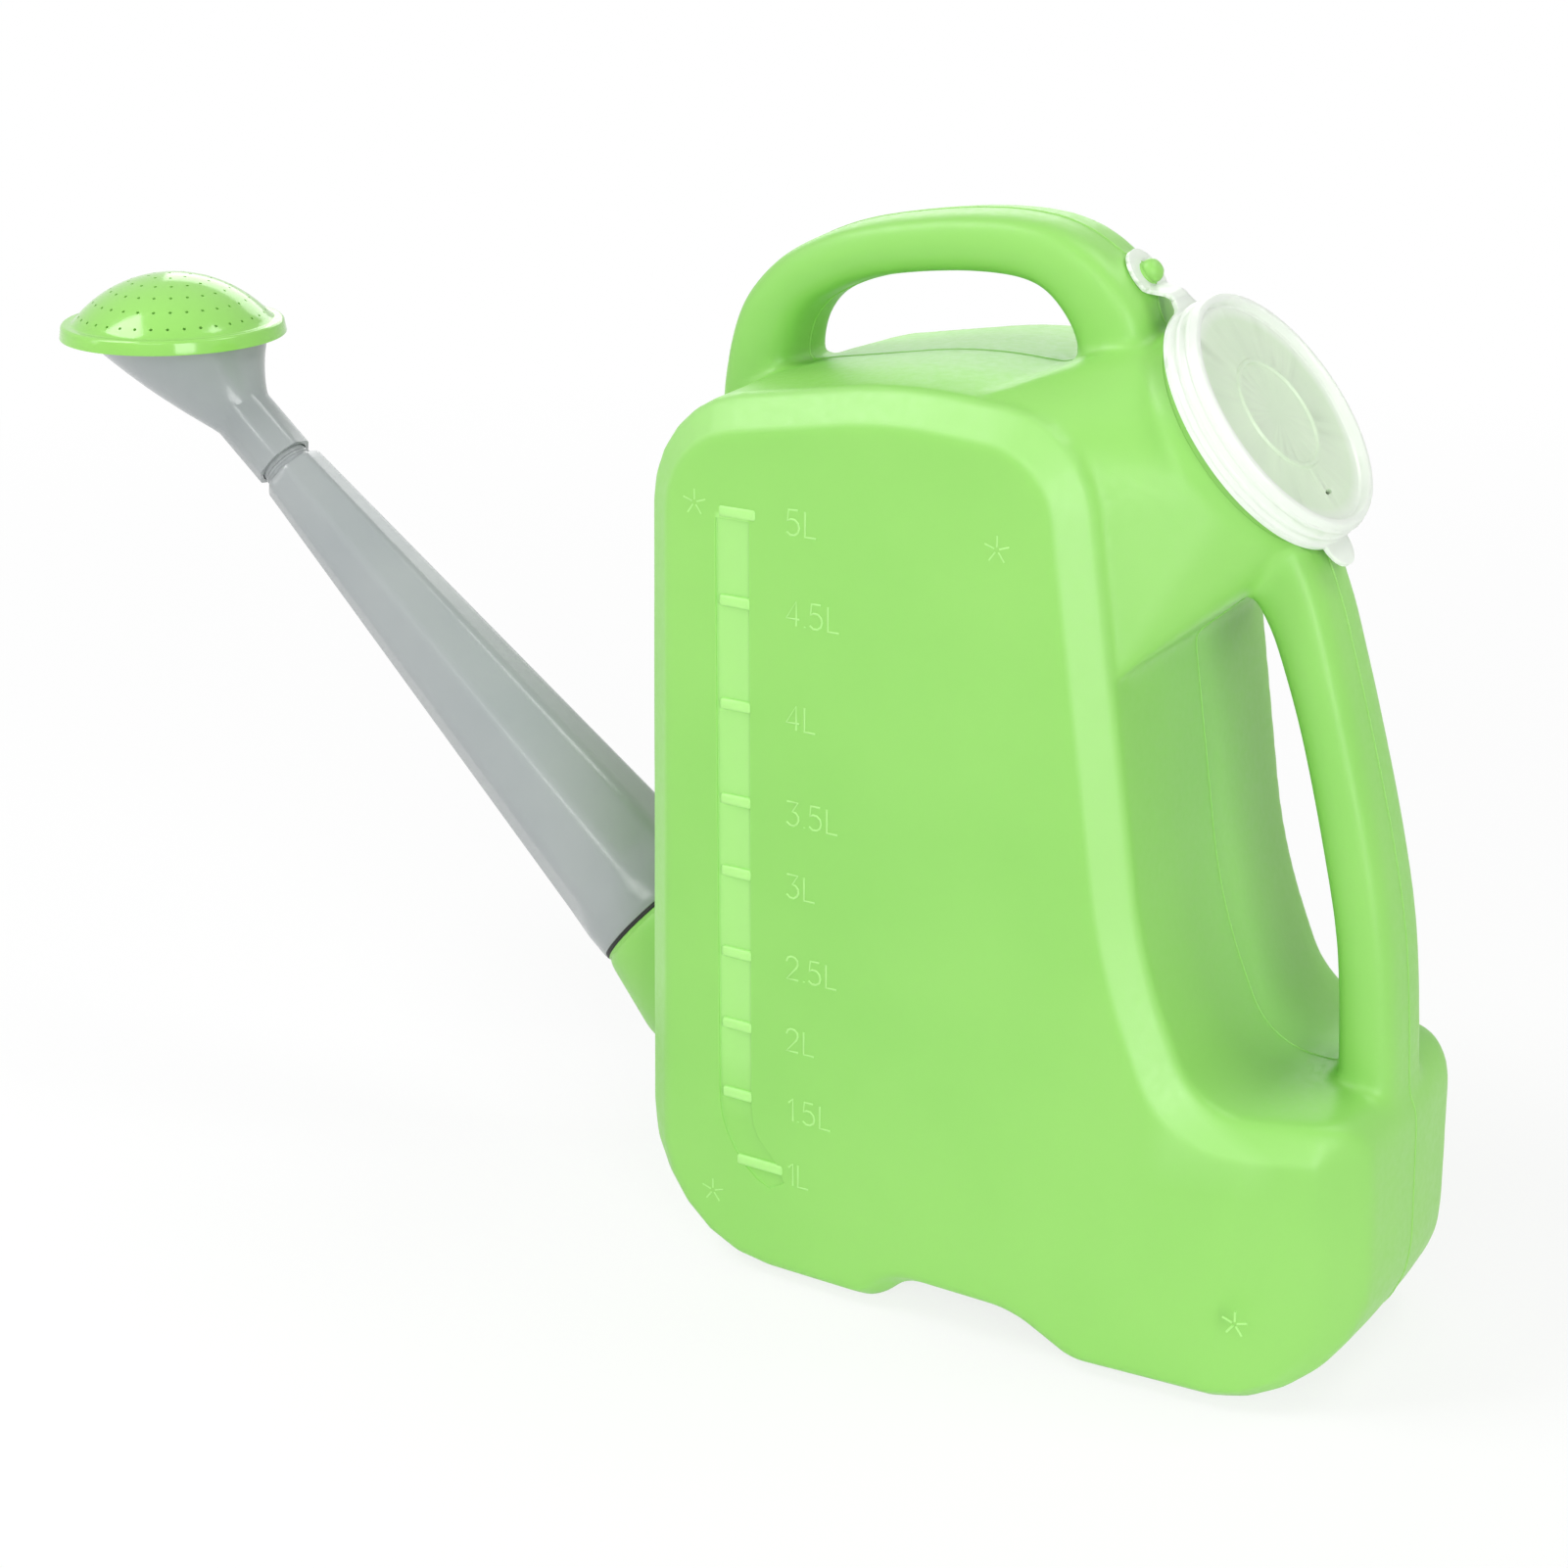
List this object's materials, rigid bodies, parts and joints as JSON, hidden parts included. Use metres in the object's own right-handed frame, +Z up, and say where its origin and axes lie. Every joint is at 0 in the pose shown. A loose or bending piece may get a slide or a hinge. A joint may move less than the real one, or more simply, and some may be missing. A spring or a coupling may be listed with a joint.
{
  "type": "watering can",
  "caption": "Plastic watering can with moulded top and rear handles, a tilted filler neck with a tethered snap lid, a screw-on spout and a turning rose.",
  "frame": {"origin": "middle of the front foot's flat on the ground, in the plane that divides the two halves of the mould", "axes": "+X from the spout's side to the rear handle, +Y across the body, +Z up"},
  "size_m": [0.5041, 0.12, 0.3291],
  "materials": {
    "green_shell": "satin, blow moulded",
    "green_rose": "gloss",
    "grey_spout": "semi-gloss",
    "milky_lid": "milky, slightly see-through",
    "seal": "matt"
  },
  "bodies": {
    "can": {"can_body": "green_shell", "lid_tether": "milky_lid"},
    "lid": {"lid": "milky_lid"},
    "seal": {"spout_seal": "seal"},
    "spout": {"spout_tube": "grey_spout"},
    "rose": {"rose_funnel": "grey_spout", "rose_face": "green_rose"}
  },
  "joints": [
    {"name": "lid_hinge", "type": "hinge", "parent": "can", "child": "lid", "pos_m": [0.08426, 0, 0.30887], "axis": [0, -1, 0], "range_deg": [0, 110]},
    {"name": "seal_rise", "type": "slide", "parent": "can", "child": "seal", "axis": [-0.7593, 0, 0.6508], "range_m": [0, 0.01]},
    {"name": "spout_turn", "type": "hinge", "parent": "seal", "child": "spout", "pos_m": [-0.0927, 0, 0.0872], "axis": [-0.7593, 0, 0.6508], "range_deg": [0, 720]},
    {"name": "rose_turn", "type": "hinge", "parent": "spout", "child": "rose", "pos_m": [-0.24357, 0, 0.21651], "axis": [-0.7593, 0, 0.6508], "continuous": true}
  ],
  "couplings": [
    {"joint": "seal_rise", "follows": "spout_turn", "m_per_rad": 0.00079577}
  ]
}
